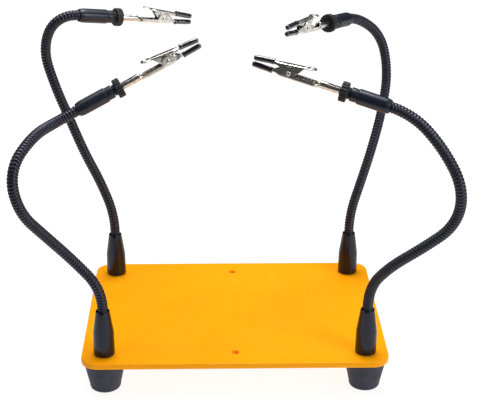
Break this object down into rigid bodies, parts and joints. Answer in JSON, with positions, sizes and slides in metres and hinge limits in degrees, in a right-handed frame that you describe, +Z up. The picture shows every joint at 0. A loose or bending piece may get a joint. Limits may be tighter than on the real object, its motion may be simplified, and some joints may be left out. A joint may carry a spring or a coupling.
{
  "type": "helping hands clamp",
  "caption": "Electronics helping hands: flat steel base plate on rubber feet, with flexible gooseneck arms that end in swivelling alligator clips with soft jaw covers.",
  "frame": {"origin": "bench level, under the middle of the base plate", "axes": "+X to the right along the plate's long side, +Y to the rear, +Z up"},
  "size_m": [0.2719, 0.1957, 0.2279],
  "materials": {
    "orange_powder_coat": "smooth semi-gloss powder coat",
    "foot_rubber": "satin moulded rubber",
    "screw_steel": "zinc-plated",
    "collar_black": "glossy moulded",
    "gooseneck_black": "black coated, finely ribbed",
    "sleeve_black": "satin moulded",
    "nickel_steel": "nickel-plated stamped sheet",
    "spring_steel": "bare spring wire",
    "cover_black": "soft satin vinyl"
  },
  "bodies": {
    "base": {"base_plate": "orange_powder_coat", "front_left_foot": "foot_rubber", "front_left_foot_screw": "screw_steel", "front_left_base_collar": "collar_black", "front_right_foot": "foot_rubber", "front_right_foot_screw": "screw_steel", "front_right_base_collar": "collar_black", "rear_left_foot": "foot_rubber", "rear_left_foot_screw": "screw_steel", "rear_left_base_collar": "collar_black", "rear_right_foot": "foot_rubber", "rear_right_foot_screw": "screw_steel", "rear_right_base_collar": "collar_black"},
    "front_left_lower": {"front_left_gooseneck_lower": "gooseneck_black"},
    "front_left_middle": {"front_left_gooseneck_middle": "gooseneck_black"},
    "front_left_upper": {"front_left_gooseneck_upper": "gooseneck_black", "front_left_end_sleeve": "sleeve_black"},
    "front_left_clip": {"front_left_swivel_nut": "sleeve_black", "front_left_clip_body": "nickel_steel", "front_left_clip_pin": "nickel_steel", "front_left_clip_spring": "spring_steel", "front_left_fixed_jaw_cover": "cover_black"},
    "front_left_jaw": {"front_left_clip_jaw": "nickel_steel", "front_left_moving_jaw_cover": "cover_black"},
    "front_right_lower": {"front_right_gooseneck_lower": "gooseneck_black"},
    "front_right_middle": {"front_right_gooseneck_middle": "gooseneck_black"},
    "front_right_upper": {"front_right_gooseneck_upper": "gooseneck_black", "front_right_end_sleeve": "sleeve_black"},
    "front_right_clip": {"front_right_swivel_nut": "sleeve_black", "front_right_clip_body": "nickel_steel", "front_right_clip_pin": "nickel_steel", "front_right_clip_spring": "spring_steel", "front_right_fixed_jaw_cover": "cover_black"},
    "front_right_jaw": {"front_right_clip_jaw": "nickel_steel", "front_right_moving_jaw_cover": "cover_black"},
    "rear_left_lower": {"rear_left_gooseneck_lower": "gooseneck_black"},
    "rear_left_middle": {"rear_left_gooseneck_middle": "gooseneck_black"},
    "rear_left_upper": {"rear_left_gooseneck_upper": "gooseneck_black", "rear_left_end_sleeve": "sleeve_black"},
    "rear_left_clip": {"rear_left_swivel_nut": "sleeve_black", "rear_left_clip_body": "nickel_steel", "rear_left_clip_pin": "nickel_steel", "rear_left_clip_spring": "spring_steel", "rear_left_fixed_jaw_cover": "cover_black"},
    "rear_left_jaw": {"rear_left_clip_jaw": "nickel_steel", "rear_left_moving_jaw_cover": "cover_black"},
    "rear_right_lower": {"rear_right_gooseneck_lower": "gooseneck_black"},
    "rear_right_middle": {"rear_right_gooseneck_middle": "gooseneck_black"},
    "rear_right_upper": {"rear_right_gooseneck_upper": "gooseneck_black", "rear_right_end_sleeve": "sleeve_black"},
    "rear_right_clip": {"rear_right_swivel_nut": "sleeve_black", "rear_right_clip_body": "nickel_steel", "rear_right_clip_pin": "nickel_steel", "rear_right_clip_spring": "spring_steel", "rear_right_fixed_jaw_cover": "cover_black"},
    "rear_right_jaw": {"rear_right_clip_jaw": "nickel_steel", "rear_right_moving_jaw_cover": "cover_black"}
  },
  "joints": [
    {"name": "front_left_lower_bend", "type": "hinge", "parent": "base", "child": "front_left_lower", "pos_m": [-0.0852, -0.0586, 0.0573], "axis": [0.5667, -0.8239, 0], "range_deg": [-10, 40]},
    {"name": "front_left_middle_bend", "type": "hinge", "parent": "front_left_lower", "child": "front_left_middle", "pos_m": [-0.11502, -0.06589, 0.10909], "axis": [0.6409, 0.4215, 0.6415], "range_deg": [-35, 35]},
    {"name": "front_left_upper_bend", "type": "hinge", "parent": "front_left_middle", "child": "front_left_upper", "pos_m": [-0.13139, -0.07605, 0.16319], "axis": [0.6488, -0.7609, 0], "range_deg": [-35, 35]},
    {"name": "front_left_clip_swivel", "type": "hinge", "parent": "front_left_upper", "child": "front_left_clip", "pos_m": [-0.0757, -0.02534, 0.19243], "axis": [0.8754, 0.2346, 0.4226], "continuous": true},
    {"name": "front_left_jaw_hinge", "type": "hinge", "parent": "front_left_clip", "child": "front_left_jaw", "pos_m": [-0.04219, -0.01636, 0.2096], "axis": [0.2588, -0.9659, 0], "range_deg": [0, 25], "stiffness_Nm_per_rad": 0.02, "springref_deg": -28.65},
    {"name": "front_right_lower_bend", "type": "hinge", "parent": "base", "child": "front_right_lower", "pos_m": [0.0852, -0.0586, 0.0573], "axis": [0.5667, 0.8239, 0], "range_deg": [-10, 40]},
    {"name": "front_right_middle_bend", "type": "hinge", "parent": "front_right_lower", "child": "front_right_middle", "pos_m": [0.10995, -0.08076, 0.10691], "axis": [-0.5875, 0.3132, 0.7461], "range_deg": [-35, 35]},
    {"name": "front_right_upper_bend", "type": "hinge", "parent": "front_right_middle", "child": "front_right_upper", "pos_m": [0.12969, -0.09482, 0.15889], "axis": [0.4615, 0.8871, 0], "range_deg": [-35, 35]},
    {"name": "front_right_clip_swivel", "type": "hinge", "parent": "front_right_upper", "child": "front_right_clip", "pos_m": [0.06778, -0.06124, 0.20207], "axis": [-0.9327, 0.2675, 0.2419], "continuous": true},
    {"name": "front_right_jaw_hinge", "type": "hinge", "parent": "front_right_clip", "child": "front_right_jaw", "pos_m": [0.03189, -0.05095, 0.21231], "axis": [0.2756, 0.9613, 0], "range_deg": [0, 25], "stiffness_Nm_per_rad": 0.02, "springref_deg": -28.65},
    {"name": "rear_left_lower_bend", "type": "hinge", "parent": "base", "child": "rear_left_lower", "pos_m": [-0.0852, 0.0586, 0.0573], "axis": [-0.5667, -0.8239, 0], "range_deg": [-10, 40]},
    {"name": "rear_left_middle_bend", "type": "hinge", "parent": "rear_left_lower", "child": "rear_left_middle", "pos_m": [-0.10233, 0.0558, 0.11612], "axis": [0.8582, 0.3377, 0.3867], "range_deg": [-35, 35]},
    {"name": "rear_left_upper_bend", "type": "hinge", "parent": "rear_left_middle", "child": "rear_left_upper", "pos_m": [-0.12319, 0.05393, 0.17442], "axis": [0.2937, -0.9559, 0], "range_deg": [-35, 35]},
    {"name": "rear_left_clip_swivel", "type": "hinge", "parent": "rear_left_upper", "child": "rear_left_clip", "pos_m": [-0.08192, 0.06516, 0.21549], "axis": [0.8529, 0.4924, -0.1736], "continuous": true},
    {"name": "rear_left_jaw_hinge", "type": "hinge", "parent": "rear_left_clip", "child": "rear_left_jaw", "pos_m": [-0.04877, 0.0843, 0.20966], "axis": [0.5, -0.866, 0], "range_deg": [0, 25], "stiffness_Nm_per_rad": 0.02, "springref_deg": -28.65},
    {"name": "rear_right_lower_bend", "type": "hinge", "parent": "base", "child": "rear_right_lower", "pos_m": [0.0852, 0.0586, 0.0573], "axis": [-0.5667, 0.8239, 0], "range_deg": [-10, 40]},
    {"name": "rear_right_middle_bend", "type": "hinge", "parent": "rear_right_lower", "child": "rear_right_middle", "pos_m": [0.09966, 0.06755, 0.11631], "axis": [-0.6015, -0.6699, 0.4351], "range_deg": [-35, 35]},
    {"name": "rear_right_upper_bend", "type": "hinge", "parent": "rear_right_middle", "child": "rear_right_upper", "pos_m": [0.11076, 0.09018, 0.17246], "axis": [-0.6946, 0.7194, 0], "range_deg": [-35, 35]},
    {"name": "rear_right_clip_swivel", "type": "hinge", "parent": "rear_right_upper", "child": "rear_right_clip", "pos_m": [0.06613, 0.04906, 0.21562], "axis": [-0.5406, -0.8324, 0.1219], "continuous": true},
    {"name": "rear_right_jaw_hinge", "type": "hinge", "parent": "rear_right_clip", "child": "rear_right_jaw", "pos_m": [0.04527, 0.01694, 0.22123], "axis": [-0.8387, 0.5446, 0], "range_deg": [0, 25], "stiffness_Nm_per_rad": 0.02, "springref_deg": -28.65}
  ]
}
